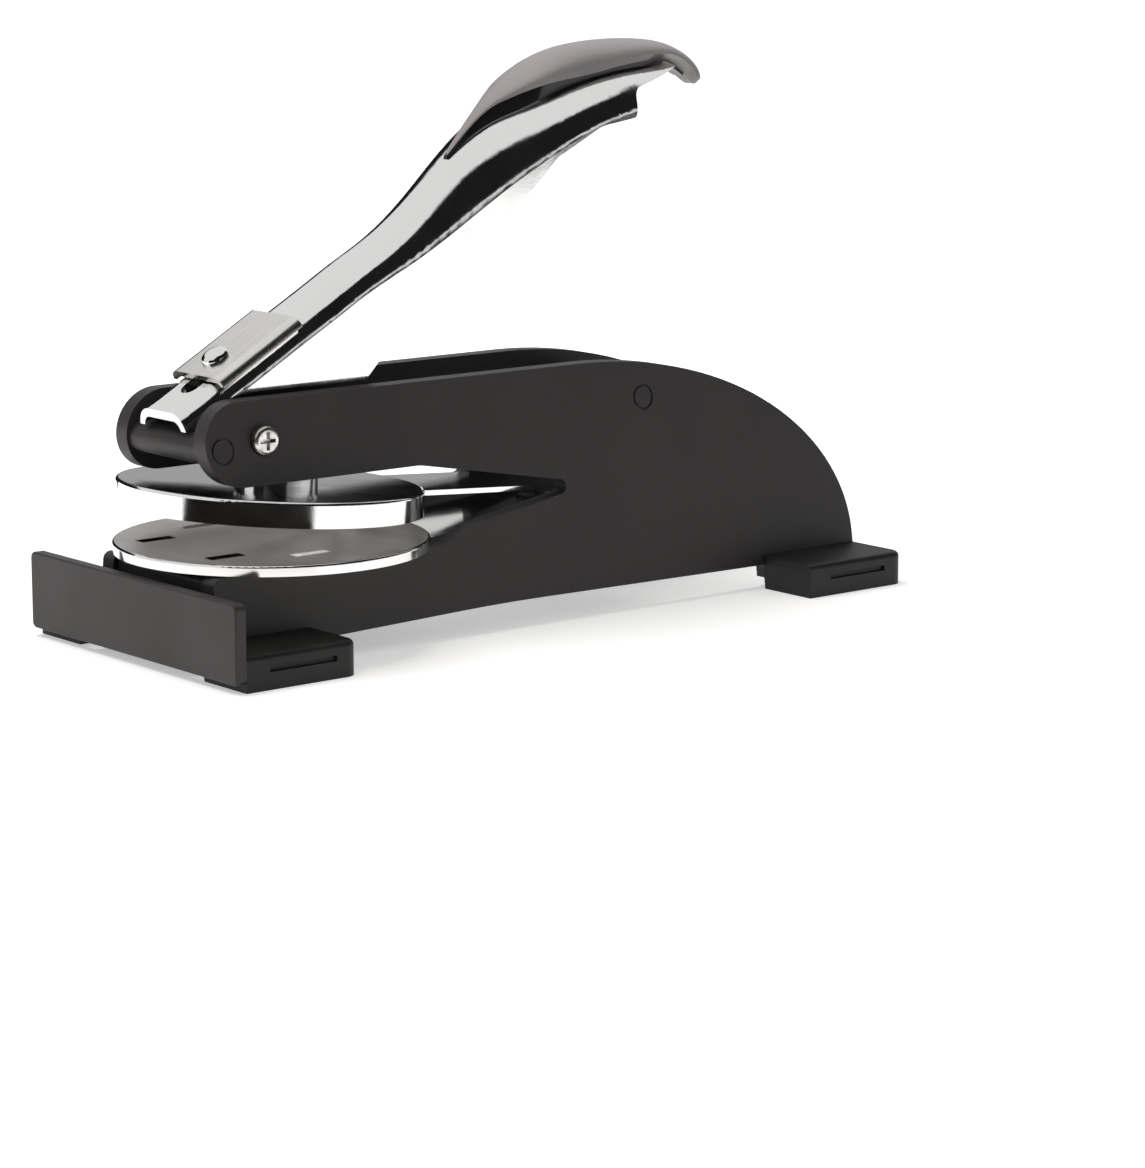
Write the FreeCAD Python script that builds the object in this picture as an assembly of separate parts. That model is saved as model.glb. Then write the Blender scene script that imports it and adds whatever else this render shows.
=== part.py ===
import FreeCAD, Part
import math
import os

# Seal embosser for a desk, in millimetres.
# Every Y below is measured back from the front plate's face and every Z up from the desk;
# the finished pieces are moved so that the origin lies under the middle of the whole.

# The whole stand
overall_length = 137.8
overall_width = 57.3
running_gap = 0.3          # between pieces that move past each other
seat_gap = 0.05            # between a pin and the hole that it sits in
overrun = 5.0              # how far a cutting tool runs past what it cuts
smallest_run = 0.001

# The dies set the heights: lower disc, then the upper cap, then the arms above it
disc_place = 26.7
disc_radius = 25.0
disc_top = 16.9
disc_thickness = 1.7
die_opening = 8.7          # from the lower disc's top to the upper cap's top
cap_top = disc_top + die_opening
arm_rise = 2.3             # from the upper cap's top to the arms
arm_bottom = cap_top + arm_rise
arm_depth = 13.0
plate_height = arm_bottom + arm_depth
pivot_rise = 6.8
pivot_height = arm_bottom + pivot_rise

# Side plates: two pressed steel cheeks that lean together towards the top
plate_thickness = 3.0
plate_lean = 8.33          # degrees
arm_half_width = 11.44     # outer faces at the top edge
arm_front = 6.2
plate_end_inset = 0.7      # short of the boots' rear ends
plate_end = overall_length - plate_end_inset
hump_length = 56.6
hump_start = plate_end - hump_length
hump_foot = 7.0            # height where the rear curve becomes upright
mouth_bend = 46.0
mouth_bend_radius = 8.0
mouth_end = 81.0
mouth_end_rise = 4.7       # above the lower disc
mouth_end_height = disc_top + mouth_end_rise
mouth_radius = 1.2
# behind the lower disc the floor steps up to the mouth's slope
floor_step_gap = 2.8
floor_step_rise = 0.5
floor_bend_inset = 2.3
mouth_floor_rise = disc_place + disc_radius + floor_step_gap
mouth_floor_rise_height = disc_top + floor_step_rise
mouth_floor_bend = disc_place + disc_radius - floor_bend_inset
mouth_floor_radius = 3.0
lower_arm_drop = 2.0
lower_arm_top = disc_top - lower_arm_drop
lower_arm_front = 5.2
lower_arm_corner = 1.2
sill_front = 3.5
sill_middle = 4.6
sill_middle_place = 60.0
sill_rear = 4.0
sill_radius = 400.0
sill_corner = 0.8
plate_edge_round = 0.35

# Tabs turned out from the foot of each cheek, and the rubber boots on them
tab_bottom = 1.6
tab_end = 26.6             # from the middle plane
tab_round = 2.0
tab_bend_radius = 1.0
boot_height = 5.6
boot_wall = 1.05
boot_edge_round = 0.9
boot_corner_round = 2.4
front_boot_end = 22.7
rear_boot_length = 21.8
rear_boot_start = overall_length - rear_boot_length
boot_groove_length = 12.4
boot_groove_height = 0.9
boot_groove_depth = 0.6
boot_groove_level = 3.2

# Front plate and the bed that carries the lower die
front_plate_thickness = 1.85
front_plate_bottom = 1.3
front_plate_top = 13.6
front_plate_corner = 1.0
front_plate_edge_round = 0.3
front_ledge_end = 19.0
front_ledge_half_width = 13.0
bed_front = 6.0
bed_end = 43.0
bed_wall = 2.5
bed_rear_bottom = 5.2
bed_clearance = 0.15       # under the sliding die insert
bed_edge_round = 0.8

# Spacers and rivets between the cheeks
front_bar_place = 9.3
front_bar_drop = 1.0       # below the pivot
front_bar_height = pivot_height - front_bar_drop
front_bar_radius = 2.6
rear_bar_gap = 44.2        # from the plates' rear ends
rear_bar_place = plate_end - rear_bar_gap
rear_bar_drop = 0.3
rear_bar_height = pivot_height - rear_bar_drop
rear_bar_radius = 3.2
rivet_radius = 1.7
rivet_ring_width = 0.45
rivet_ring_depth = 0.3

# Lever pivot
pivot_place = 16.8
axle_radius = 2.5
axle_bore_depth = 5.0
collar_radius = 4.0
screw_radius = 1.5
screw_length = 4.5         # inside the axle
screw_head_radius = 2.3
screw_head_height = 1.7
screw_head_round = 0.7
screw_cross_length = 2.8
screw_cross_width = 0.6
screw_cross_depth = 0.9
screw_seat_gap = 0.15

# Lever: a pressed channel with a rounded back, open below, that spreads into a palm.
# Its heights are measured up from the pivot.
lever_half_width = 6.3
lever_wall = 1.2
# place, half width, then how far across and down the rounded shoulder reaches
lever_shoulders = (
    (6.2, 6.3, 3.0, 3.7),
    (26.0, 6.3, 3.0, 3.8),
    (42.0, 6.3, 3.1, 3.9),
    (49.0, 6.3, 3.5, 4.8),
    (54.0, 6.5, 4.4, 6.2),
    (59.0, 7.1, 5.6, 7.9),
    (64.0, 8.2, 7.4, 8.9),
    (70.0, 9.8, 9.2, 9.0),
    (76.0, 11.0, 10.6, 8.3),
    (84.0, 11.8, 11.4, 7.5),
    (92.0, 12.0, 11.6, 6.9),
    (105.0, 12.0, 11.6, 6.4),
)
lever_nose = 6.2
lever_nose_height = 4.05
lever_nose_lean = 0.6
lever_nose_bottom = 1.4
lever_slope = 29.5         # degrees, the straight front run
lever_steep = 43.5         # degrees, the neck below the grip
lever_palm_slope = 30.0    # degrees, where the palm begins
lever_level = 1.0          # degrees, at the palm's end
neck_start = 46.0
neck_end = 54.5
neck_top = 61.5
palm_start = 70.0
palm_end = 100.0
lever_end = 104.5
lever_saddle = 2.05        # flange edge above the front bar
lever_boss_radius = 4.4
lever_tail_height = 53.2
# the flange's lower edge behind the pivot: place, height, radius
flange_edge = (
    (31.0, -4.7, 3.0),
    (33.6, -0.8, 6.0),
    (49.0, 14.9, 30.0),
    (66.8, 29.7, 20.0),
    (76.0, 39.8, 3.0),
    (84.6, 44.5, 6.0),
    (91.8, 45.6, 0.8),
    (92.2, 50.0, 2.5),
)
shoulder_steps = 6
loft_degree = 3
lever_slices = 18
crown_step = 0.5

# Press bar across the lever, which pushes the button down
press_bar_place = 27.87
press_bar_radius = 3.5
press_bar_end_radius = 2.0

# Grip: a grey moulded cap on a black base, screwed to the lever's palm from inside.
# Heights are measured up from the pivot.
grip_screw_radius = 1.1
grip_screw_head_radius = 2.0
grip_screw_head_height = 1.2
grip_screw_depth = 1.6
grip_screw_places = (80.0, 94.0)
# place, crown, rim, half width, half width of the rim
cap_rows = (
    (67.0, 47.7, 47.1, 1.2, 1.2),
    (68.0, 48.7, 47.6, 2.4, 2.4),
    (70.0, 50.5, 48.4, 3.8, 3.8),
    (73.5, 53.0, 49.7, 5.1, 5.1),
    (76.7, 54.6, 50.8, 5.7, 5.7),
    (80.5, 55.8, 51.6, 6.1, 6.1),
    (86.5, 56.9, 52.5, 6.4, 6.4),
    (92.8, 57.6, 53.6, 6.5, 6.5),
    (98.0, 57.8, 54.2, 6.4, 6.2),
    (102.0, 57.6, 54.4, 6.1, 5.0),
    (105.0, 57.1, 54.2, 5.5, 3.3),
    (108.0, 56.2, 53.3, 4.7, 2.0),
    (111.0, 54.9, 51.5, 3.8, 1.4),
    (113.0, 53.6, 49.9, 3.0, 1.1),
    (114.2, 52.6, 49.7, 2.0, 0.9),
    (114.8, 51.8, 50.6, 1.0, 0.6),
)
# place, top, half width at the top, half width where it meets the lever
base_rows = (
    (61.4, 39.6, 0.4, 0.5),
    (63.4, 42.9, 0.8, 1.0),
    (65.4, 45.4, 1.1, 1.6),
    (67.0, 47.6, 1.1, 2.0),
    (70.5, 49.2, 3.6, 3.2),
    (75.8, 51.0, 5.2, 4.3),
    (80.4, 52.1, 5.8, 5.0),
    (88.9, 53.4, 6.2, 5.8),
    (97.8, 54.8, 6.0, 5.8),
    (101.0, 55.0, 5.2, 5.2),
    (105.0, 54.8, 3.2, 3.3),
    (108.0, 53.9, 1.9, 1.9),
    (111.0, 52.2, 1.3, 1.3),
)
base_foot = 1.0            # how deep the base's block reaches into the lever before it is cut
grip_slices = 24

# Lock slide on the lever's straight run, measured along the run from the nose
slide_start = 8.2
slide_length = 17.0
slide_sheet = 0.9
slide_skirt = 0.5
slide_half_width = 6.9
slide_fold = 1.8           # outer radius of its folded edges
slide_corner = 1.4
slide_notch_radius = 0.9
slide_notch_pitch = 2.9
slide_notch_count = 3
slide_notch_end = 2.6      # last notch, before the slide's rear end
slide_travel = 6.0
lock_rivet_place = 12.8
lock_rivet_radius = 1.5
lock_rivet_head_radius = 2.3
lock_rivet_head_height = 1.1
keeper_length = 6.4
keeper_half_width = 3.4
keeper_thickness = 0.9

# Die insert: a spring clip of two leaves that carries both die holders
disc_edge_round = 0.4
disc_slot_length = 6.4
disc_slot_width = 2.4
# across and behind the disc's middle
disc_slot_places = ((-9.6, -15.4), (9.6, -15.4), (-15.4, -3.6), (15.4, -3.6))
leaf_thickness = 0.8
leaf_half_width = 9.0
leaf_end_round = 3.0
lower_leaf_front = 8.0
lower_leaf_bend = disc_place + disc_radius + running_gap
upper_leaf_front = 10.0

# Hinge at the insert's tail: both leaves are rolled round one pin
hinge_place = 84.5
hinge_rise = 2.0
hinge_height = disc_top + hinge_rise
hinge_pin_radius = 0.75
hinge_pin_head_radius = 1.3
hinge_pin_head_length = 0.6
middle_knuckle = 3.4       # half its length
hinge_relief = 2.2         # how far the leaves are cut back from the pin

# Upper die holder, tilted nose up at rest
cap_place = disc_place
cap_tilt = 4.2             # degrees
cap_inset = 0.75           # smaller than the lower disc
cap_radius = disc_radius - cap_inset
cap_height = 4.0
cap_wall = 1.0
cap_edge_round = 0.5
button_offset = 1.0        # behind the cap's middle
button_radius = 6.6
button_height = 3.5
button_crown = 25.0        # radius of its domed top
button_groove = 0.5
button_groove_depth = 0.5
button_groove_level = 1.7
button_edge_round = 0.4
button_spigot_radius = 2.4
press_bar_height = cap_top + button_height + running_gap + press_bar_radius

# Shares of a size
grip_side_share = 0.28
grip_shoulder_share = 0.76
grip_waist_share = 0.72
rivet_dome_share = 0.85


def vec(x, y, z):
    return FreeCAD.Vector(x, y, z)


along_x = vec(1, 0, 0)
along_z = vec(0, 0, 1)
far = overall_width


def box(x, y, z):
    return Part.makeBox(x[1] - x[0], y[1] - y[0], z[1] - z[0], vec(x[0], y[0], z[0]))


def bar(place, height, radius, half_length):
    """A round bar across the stand."""
    return Part.makeCylinder(radius, 2 * half_length, vec(-half_length, place, height), along_x)


def disc(place, radius, bottom, top, across=0):
    return Part.makeCylinder(radius, top - bottom, vec(across, place, bottom), along_z)


def line(start, end):
    return Part.LineSegment(start, end).toShape()


def rounded_edges(points):
    """Straight runs in the Y-Z plane, with an arc at each point that has a radius."""
    corners = [vec(0, y, z) for y, z, radius in points]
    edges = []
    last = corners[0]
    for before, here, after, (y, z, radius) in zip(corners, corners[1:], corners[2:], points[1:]):
        if radius == 0:
            edges.append(line(last, here))
            last = here
            continue
        to_before = (before - here).normalize()
        to_after = (after - here).normalize()
        half = to_before.getAngle(to_after) / 2
        reach = radius / math.tan(half)
        inward = (to_before + to_after).normalize()
        start = here + to_before * reach
        end = here + to_after * reach
        middle = here + inward * (radius / math.sin(half) - radius)
        if start.distanceToPoint(last) > smallest_run:
            edges.append(line(last, start))
        edges.append(Part.Arc(start, middle, end).toShape())
        last = end
    edges.append(line(last, corners[-1]))
    return edges


def side_solid(edges, half_width, inner=None):
    """A closed outline in the Y-Z plane, made solid across the stand."""
    face = Part.Face(Part.Wire(Part.__sortEdges__(edges)))
    start = -half_width if inner is None else inner
    face.translate(vec(start, 0, 0))
    return face.extrude(vec(half_width - start, 0, 0))


def ring_section(points):
    """A closed polygon in the X-Z plane, run along the whole length."""
    corners = [vec(x, -overrun, z) for x, z in points]
    face = Part.Face(Part.makePolygon(corners + corners[:1]))
    return face.extrude(vec(0, overall_length + 2 * overrun, 0))


def outer_x(height):
    lean = math.tan(math.radians(plate_lean))
    return arm_half_width + (plate_height - height) * lean


def inner_x(height):
    return outer_x(height) - plate_thickness / math.cos(math.radians(plate_lean))


def space_between(reach_at, gap=0):
    """The space between the two leaning faces that reach_at gives."""
    low = -overrun
    high = plate_height + overrun
    right = [(reach_at(low) - gap, low), (reach_at(high) - gap, high)]
    left = [(-x, z) for x, z in reversed(right)]
    return ring_section(right + left)


def mirrored(shape):
    return shape.mirror(vec(0, 0, 0), along_x)


def edges_where(shape, test):
    return [edge for edge in shape.Edges if test(edge)]


def lies_level(edge):
    return edge.BoundBox.ZLength < smallest_run


def lies_upright(edge):
    box_of = edge.BoundBox
    return box_of.XLength < smallest_run and box_of.YLength < smallest_run


# Side plates

def plate_outline():
    arm_radius = (plate_height - arm_bottom) / 2
    front_tab_end = front_boot_end - boot_wall
    rear_tab_start = rear_boot_start + boot_wall
    path = [
        (hump_start, plate_height, 0),
        (arm_front, plate_height, arm_radius),
        (arm_front, arm_bottom, arm_radius),
        (mouth_bend, arm_bottom, mouth_bend_radius),
        (mouth_end, mouth_end_height, mouth_radius),
        (mouth_floor_rise, mouth_floor_rise_height, mouth_floor_radius),
        (mouth_floor_bend, lower_arm_top, mouth_floor_radius),
        (lower_arm_front, lower_arm_top, lower_arm_corner),
        (lower_arm_front, tab_bottom, 0),
        (front_tab_end, tab_bottom, 0),
        (front_tab_end, sill_front, sill_corner),
        (sill_middle_place, sill_middle, sill_radius),
        (rear_tab_start, sill_rear, sill_corner),
        (rear_tab_start, tab_bottom, 0),
        (plate_end, tab_bottom, sill_corner),
        (plate_end, hump_foot, 0),
    ]
    hump = Part.Ellipse(
        vec(0, plate_end, hump_foot),
        vec(0, hump_start, plate_height),
        vec(0, hump_start, hump_foot),
    )
    curve = Part.ArcOfEllipse(hump, 0, math.pi / 2).toShape()
    return rounded_edges(path) + [curve]


def tab(start, end):
    """One tab, turned out level from the foot of the right-hand cheek."""
    plate = box((inner_x(tab_bottom), tab_end), (start, end), (tab_bottom, tab_bottom + plate_thickness))
    corners = edges_where(plate, lambda e: lies_upright(e) and e.CenterOfMass.x > tab_end - smallest_run)
    return plate.makeFillet(tab_round, corners)


def side_plate():
    cheek = side_solid(plate_outline(), far, 0)
    slab = [
        (inner_x(-overrun), -overrun),
        (outer_x(-overrun), -overrun),
        (outer_x(plate_height + overrun), plate_height + overrun),
        (inner_x(plate_height + overrun), plate_height + overrun),
    ]
    cheek = cheek.common(ring_section(slab))
    cheek = cheek.fuse(tab(lower_arm_front, front_boot_end - boot_wall))
    cheek = cheek.fuse(tab(rear_boot_start + boot_wall, overall_length - boot_wall))
    inside = space_between(inner_x)
    cheek = cheek.cut(inside).removeSplitter()
    for place, height, radius in (
        (front_bar_place, front_bar_height, rivet_radius),
        (rear_bar_place, rear_bar_height, rivet_radius),
    ):
        cheek = cheek.cut(bar(place, height, radius + seat_gap, far))
        ring = bar(place, height, radius + rivet_ring_width, far)
        cheek = cheek.cut(ring.cut(space_between(outer_x, rivet_ring_depth)))
    cheek = cheek.cut(bar(pivot_place, pivot_height, screw_radius + screw_seat_gap, far))
    seat = outer_x(pivot_height + screw_head_radius)
    spot_face = bar(pivot_place, pivot_height, screw_head_radius + screw_seat_gap, far)
    return cheek.cut(spot_face.cut(box((-far, seat), (0, overall_length), (0, far))))


# Rubber boots

def boot(start, end):
    """One boot on the right-hand side, with a pocket for the cheek's tab."""
    half_width = overall_width / 2
    block = box((0, half_width), (start, end), (0, boot_height))
    upright = edges_where(block, lambda e: lies_upright(e) and e.CenterOfMass.x > smallest_run)
    rear = [edge for edge in upright if edge.CenterOfMass.y > (start + end) / 2]
    block = block.makeFillet(boot_corner_round, rear)
    top = edges_where(
        block,
        lambda e: lies_level(e)
        and e.CenterOfMass.z > boot_height - smallest_run
        and e.CenterOfMass.x > smallest_run
        and e.CenterOfMass.y > start + smallest_run,
    )
    block = block.makeFillet(boot_edge_round, top)
    middle = (start + end) / 2
    groove = box(
        (half_width - boot_groove_depth, half_width + overrun),
        (middle - boot_groove_length / 2, middle + boot_groove_length / 2),
        (boot_groove_level - boot_groove_height / 2, boot_groove_level + boot_groove_height / 2),
    )
    block = block.cut(groove)
    return block.cut(space_between(outer_x)).cut(side_plate())


def front_boot():
    return boot(front_plate_thickness, front_boot_end)


def rear_boot():
    return boot(rear_boot_start, overall_length)


# Front plate and bed

def front_plate():
    half_width = overall_width / 2
    face = box((-half_width, half_width), (0, front_plate_thickness), (front_plate_bottom, front_plate_top))
    corners = edges_where(face, lambda e: e.BoundBox.YLength > front_plate_thickness / 2)
    face = face.makeFillet(front_plate_corner, corners)
    rim = edges_where(face, lambda e: e.CenterOfMass.y < smallest_run)
    face = face.makeFillet(front_plate_edge_round, rim)
    ledge = box(
        (-front_ledge_half_width, front_ledge_half_width),
        (front_plate_thickness / 2, front_ledge_end),
        (front_plate_bottom, front_plate_bottom + front_plate_thickness),
    )
    return face.fuse(ledge).removeSplitter()


def anvil_bed():
    top = disc_top - disc_thickness - leaf_thickness - bed_clearance
    floor = front_plate_bottom + front_plate_thickness
    block = box((-far, far), (bed_front, bed_end), (floor, top))
    hollow = box((-far, far), (bed_front + bed_wall, bed_end - bed_wall), (0, top - bed_wall))
    under_rear = box((-far, far), (front_ledge_end, bed_end + overrun), (0, bed_rear_bottom))
    bridge = block.cut(hollow).cut(under_rear)
    edges = edges_where(bridge, lambda e: e.BoundBox.XLength > far and e.CenterOfMass.z > top - smallest_run)
    bridge = bridge.makeFillet(bed_edge_round, edges)
    return bridge.common(space_between(inner_x))


# Spacers, rivets and the pivot

def spacer(place, height, radius):
    tube = bar(place, height, radius, far).cut(bar(place, height, rivet_radius + seat_gap, far))
    return tube.common(space_between(inner_x))


def long_rivet(place, height):
    return bar(place, height, rivet_radius, far).common(space_between(outer_x))


def front_crossbar():
    return spacer(front_bar_place, front_bar_height, front_bar_radius)


def rear_spacer():
    return spacer(rear_bar_place, rear_bar_height, rear_bar_radius)


def front_rivet():
    return long_rivet(front_bar_place, front_bar_height)


def rear_rivet():
    return long_rivet(rear_bar_place, rear_bar_height)


def pivot_axle():
    axle = bar(pivot_place, pivot_height, axle_radius, far).common(space_between(inner_x))
    end = inner_x(pivot_height)
    bores = bar(pivot_place, pivot_height, screw_radius + seat_gap, far)
    core = box((axle_bore_depth - end, end - axle_bore_depth), (0, overall_length), (0, far))
    return axle.cut(bores.cut(core))


def pivot_collars():
    ring = bar(pivot_place, pivot_height, collar_radius, far)
    ring = ring.cut(bar(pivot_place, pivot_height, axle_radius + seat_gap, far))
    ring = ring.common(space_between(inner_x))
    start = lever_half_width + running_gap
    right = ring.cut(box((-far, start), (0, overall_length), (0, far)))
    return Part.makeCompound([right, mirrored(right)])


def pivot_screw():
    """The right-hand pan-head screw, which threads into the axle's end."""
    seat = outer_x(pivot_height + screw_head_radius)
    tip = inner_x(pivot_height) - screw_length
    centre = (pivot_place, pivot_height)
    head = Part.makeCylinder(screw_head_radius, screw_head_height, vec(seat, *centre), along_x)
    rim = edges_where(head, lambda e: e.CenterOfMass.x > seat + screw_head_height - smallest_run)
    head = head.makeFillet(screw_head_round, rim)
    shank = Part.makeCylinder(screw_radius, seat - tip, vec(tip, *centre), along_x)
    screw = head.fuse(shank)
    crown = seat + screw_head_height
    for along, across in ((screw_cross_length, screw_cross_width), (screw_cross_width, screw_cross_length)):
        screw = screw.cut(box(
            (crown - screw_cross_depth, crown + overrun),
            (pivot_place - along / 2, pivot_place + along / 2),
            (pivot_height - across / 2, pivot_height + across / 2),
        ))
    return screw


def pivot_screws():
    right = pivot_screw()
    return Part.makeCompound([right, mirrored(right)])


# Lever

def on_run(distance, rise=0):
    """A point on the lever's straight run: along it from the nose, and square off it."""
    slope = math.radians(lever_slope)
    return (
        lever_nose + distance * math.cos(slope) - rise * math.sin(slope),
        pivot_height + lever_nose_height + distance * math.sin(slope) + rise * math.cos(slope),
    )


def turn_arc(start, slope, next_slope, end_y):
    """An arc from one slope to the next, and the point where it ends."""
    mean = (slope + next_slope) / 2
    end = vec(0, end_y, start.z + (end_y - start.y) * math.tan(math.radians(mean)))
    chord = end.distanceToPoint(start)
    half_turn = math.radians(next_slope - slope) / 2
    bulge = chord / 2 * math.tan(half_turn / 2)
    tilt = math.radians(mean)
    middle = (start + end) / 2 + vec(0, math.sin(tilt), -math.cos(tilt)) * bulge
    return Part.Arc(start, middle, end).toShape(), end


def slope_line(start, slope, end_y):
    end = vec(0, end_y, start.z + (end_y - start.y) * math.tan(math.radians(slope)))
    return line(start, end), end


def lever_crown():
    """The lever's back in side view, from nose to tail."""
    start = vec(0, lever_nose, pivot_height + lever_nose_height)
    run, neck = slope_line(start, lever_slope, neck_start)
    bend, throat = turn_arc(neck, lever_slope, lever_steep, neck_end)
    climb, shoulder = slope_line(throat, lever_steep, neck_top)
    brow, palm = turn_arc(shoulder, lever_steep, lever_palm_slope, palm_start)
    back, rest = turn_arc(palm, lever_palm_slope, lever_level, palm_end)
    tail, end = slope_line(rest, lever_level, lever_end)
    return Part.Wire([run, bend, climb, brow, back, tail])


def crown_at(place):
    """Height and slope of the lever's back at one place, carried on straight past its ends."""
    inside = min(max(place, lever_nose), lever_end)
    crown = lever_crown()

    def height(y):
        probe = line(vec(0, y, 0), vec(0, y, 2 * far))
        distance, pairs, info = crown.distToShape(probe)
        return pairs[0][0].z

    before = max(inside - crown_step, lever_nose)
    after = min(inside + crown_step, lever_end)
    rise = (height(after) - height(before)) / (after - before)
    return height(inside) + (place - inside) * rise, rise


def shoulder_arc(place, inner, outer, low, high, side):
    """A quarter of an ellipse from the flange up to the flat of the back."""
    across = outer - inner
    down = high - low
    points = []
    for step in range(shoulder_steps + 1):
        turn = step / shoulder_steps * math.pi / 2
        points.append(vec(side * (inner + across * math.cos(turn)), place, low + down * math.sin(turn)))
    if side < 0:
        points.reverse()
    curve = Part.BSplineCurve()
    curve.interpolate(points)
    return curve.toShape()


def lever_section(place, crown, half_width, reach, down):
    """One slice across the lever: flat back, rounded shoulders, and flanges to the floor."""
    flat = half_width - reach
    low = crown - down
    right = [vec(half_width, place, 0), vec(half_width, place, low)]
    left = [vec(-half_width, place, low), vec(-half_width, place, 0)]
    return Part.Wire([
        line(right[0], right[1]),
        shoulder_arc(place, flat, half_width, low, crown, 1),
        line(vec(flat, place, crown), vec(-flat, place, crown)),
        shoulder_arc(place, flat, half_width, low, crown, -1),
        line(left[0], left[1]),
        line(left[1], right[0]),
    ])


def row_at(table, place):
    """The values of a table of stations at one place along the lever."""
    inside = min(max(place, table[0][0]), table[-1][0])
    for before, after in zip(table, table[1:]):
        if before[0] <= inside <= after[0]:
            share = (inside - before[0]) / (after[0] - before[0])
            return [a + (b - a) * share for a, b in zip(before[1:], after[1:])]


def even_places(start, end, slices):
    return [start + (end - start) * step / slices for step in range(slices + 1)]


def closing_places(start, end, slices):
    """Stations that lie closer together towards both rounded ends."""
    middle = (start + end) / 2
    return [middle - (end - start) / 2 * math.cos(math.pi * step / slices) for step in range(slices + 1)]


def lever_form(wall):
    """The lever's rounded back and flanges as one block; wall sinks it to the inner face."""
    sections = []
    for place in even_places(lever_nose - overrun - wall, lever_end + overrun + wall, lever_slices):
        half_width, reach, down = row_at(lever_shoulders, place)
        crown, rise = crown_at(place)
        sink = wall * math.hypot(1, rise)
        sections.append(lever_section(place, crown - sink, half_width - wall, reach - wall, down - sink))
    return Part.makeLoft(sections, True, False, False, loft_degree)


def lever_outer():
    nose = pivot_height + lever_nose_height
    saddle = pivot_height + lever_saddle
    boss = pivot_place - lever_boss_radius
    outline = [
        (lever_nose, 2 * far, 0),
        (lever_nose, nose, 0),
        (lever_nose + lever_nose_lean, pivot_height + lever_nose_bottom, 0),
        (lever_nose + 2 * lever_nose_lean, saddle, lever_nose_lean),
        (boss, saddle, lever_nose_lean),
        (boss, pivot_height - lever_boss_radius, lever_boss_radius),
    ]
    for place, height, radius in flange_edge:
        outline.append((place, pivot_height + height, radius))
    outline += [
        (lever_end, pivot_height + lever_tail_height, 0),
        (lever_end, 2 * far, 0),
        (lever_nose, 2 * far, 0),
    ]
    return lever_form(0).common(side_solid(rounded_edges(outline), far, -far))


def lever_hollow():
    return lever_form(lever_wall)


def laid_on_run(shape):
    """Turns a shape built level, with the nose at zero, on to the lever's straight run."""
    shape = shape.copy()
    shape.rotate(vec(0, 0, 0), along_x, lever_slope)
    shape.translate(vec(0, lever_nose, pivot_height + lever_nose_height))
    return shape


def lever():
    channel = lever_outer().cut(lever_hollow())
    channel = channel.cut(bar(pivot_place, pivot_height, axle_radius + seat_gap, far))
    channel = channel.cut(bar(press_bar_place, press_bar_height, press_bar_end_radius + seat_gap, far))
    reach = lock_rivet_radius + running_gap
    slot = box((-reach, reach), (lock_rivet_place - slide_travel, lock_rivet_place), (-overrun, overrun))
    for place in (lock_rivet_place - slide_travel, lock_rivet_place):
        slot = slot.fuse(disc(place, reach, -overrun, overrun))
    channel = channel.cut(laid_on_run(slot))
    for place in grip_screw_places:
        top, rise = crown_at(place)
        channel = channel.cut(disc(place, grip_screw_radius + seat_gap, top - overrun, top + overrun))
    return channel


def press_bar():
    inside = lever_half_width - lever_wall - seat_gap
    thick = bar(press_bar_place, press_bar_height, press_bar_radius, inside)
    return thick.fuse(bar(press_bar_place, press_bar_height, press_bar_end_radius, lever_half_width))


# Grip

def cap_section(place):
    """A domed arch across the lever, on a flat rim."""
    crown, rim, half_width, rim_half_width = row_at(cap_rows, place)
    crown += pivot_height
    rim += pivot_height
    rise = crown - rim
    right = [
        vec(rim_half_width, place, rim),
        vec(half_width, place, rim + rise * grip_side_share),
        vec(half_width * grip_waist_share, place, rim + rise * grip_shoulder_share),
    ]
    left = [vec(-point.x, place, point.z) for point in reversed(right)]
    dome = Part.BSplineCurve()
    dome.interpolate(right + [vec(0, place, crown)] + left)
    return Part.Wire([dome.toShape(), line(left[-1], right[0])])


def base_section(place):
    """A block that stands in the lever's back and narrows or widens towards the cap."""
    top, upper, lower = row_at(base_rows, place)
    top += pivot_height
    foot = min(crown_at(place)[0], top) - base_foot
    corners = [vec(lower, place, foot), vec(upper, place, top), vec(-upper, place, top), vec(-lower, place, foot)]
    return Part.makePolygon(corners + corners[:1])


def cap_block():
    places = closing_places(cap_rows[0][0], cap_rows[-1][0], grip_slices)
    return Part.makeLoft([cap_section(place) for place in places], True, False, False, loft_degree)


def base_block():
    places = even_places(base_rows[0][0], base_rows[-1][0], grip_slices)
    return Part.makeLoft([base_section(place) for place in places], True, True)


def grip_screw(place):
    """A screw up through the lever's back and the base into the cap."""
    top, rise = crown_at(place)
    under = top - lever_wall - grip_screw_head_radius * rise - running_gap
    head = disc(place, grip_screw_head_radius, under - 2 * grip_screw_head_height, under - grip_screw_head_height)
    shank = disc(place, grip_screw_radius, under - grip_screw_head_height, top + grip_screw_depth)
    return head.fuse(shank)


def grip_screws():
    return Part.makeCompound([grip_screw(place) for place in grip_screw_places])


def screw_holes():
    return Part.makeCompound([
        disc(place, grip_screw_radius, 0, crown_at(place)[0] + grip_screw_depth) for place in grip_screw_places
    ])


def largest(shape):
    return max(shape.Solids, key=lambda solid: solid.Volume)


def lever_grip():
    return largest(cap_block().cut(lever_outer()).cut(lever_hollow()).cut(screw_holes()))


def grip_base():
    above = cap_block()
    above.translate(vec(0, 0, -seat_gap))
    base = base_block().cut(above)
    return largest(base.cut(lever_outer()).cut(lever_hollow()).cut(screw_holes()))


# Lock slide

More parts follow.
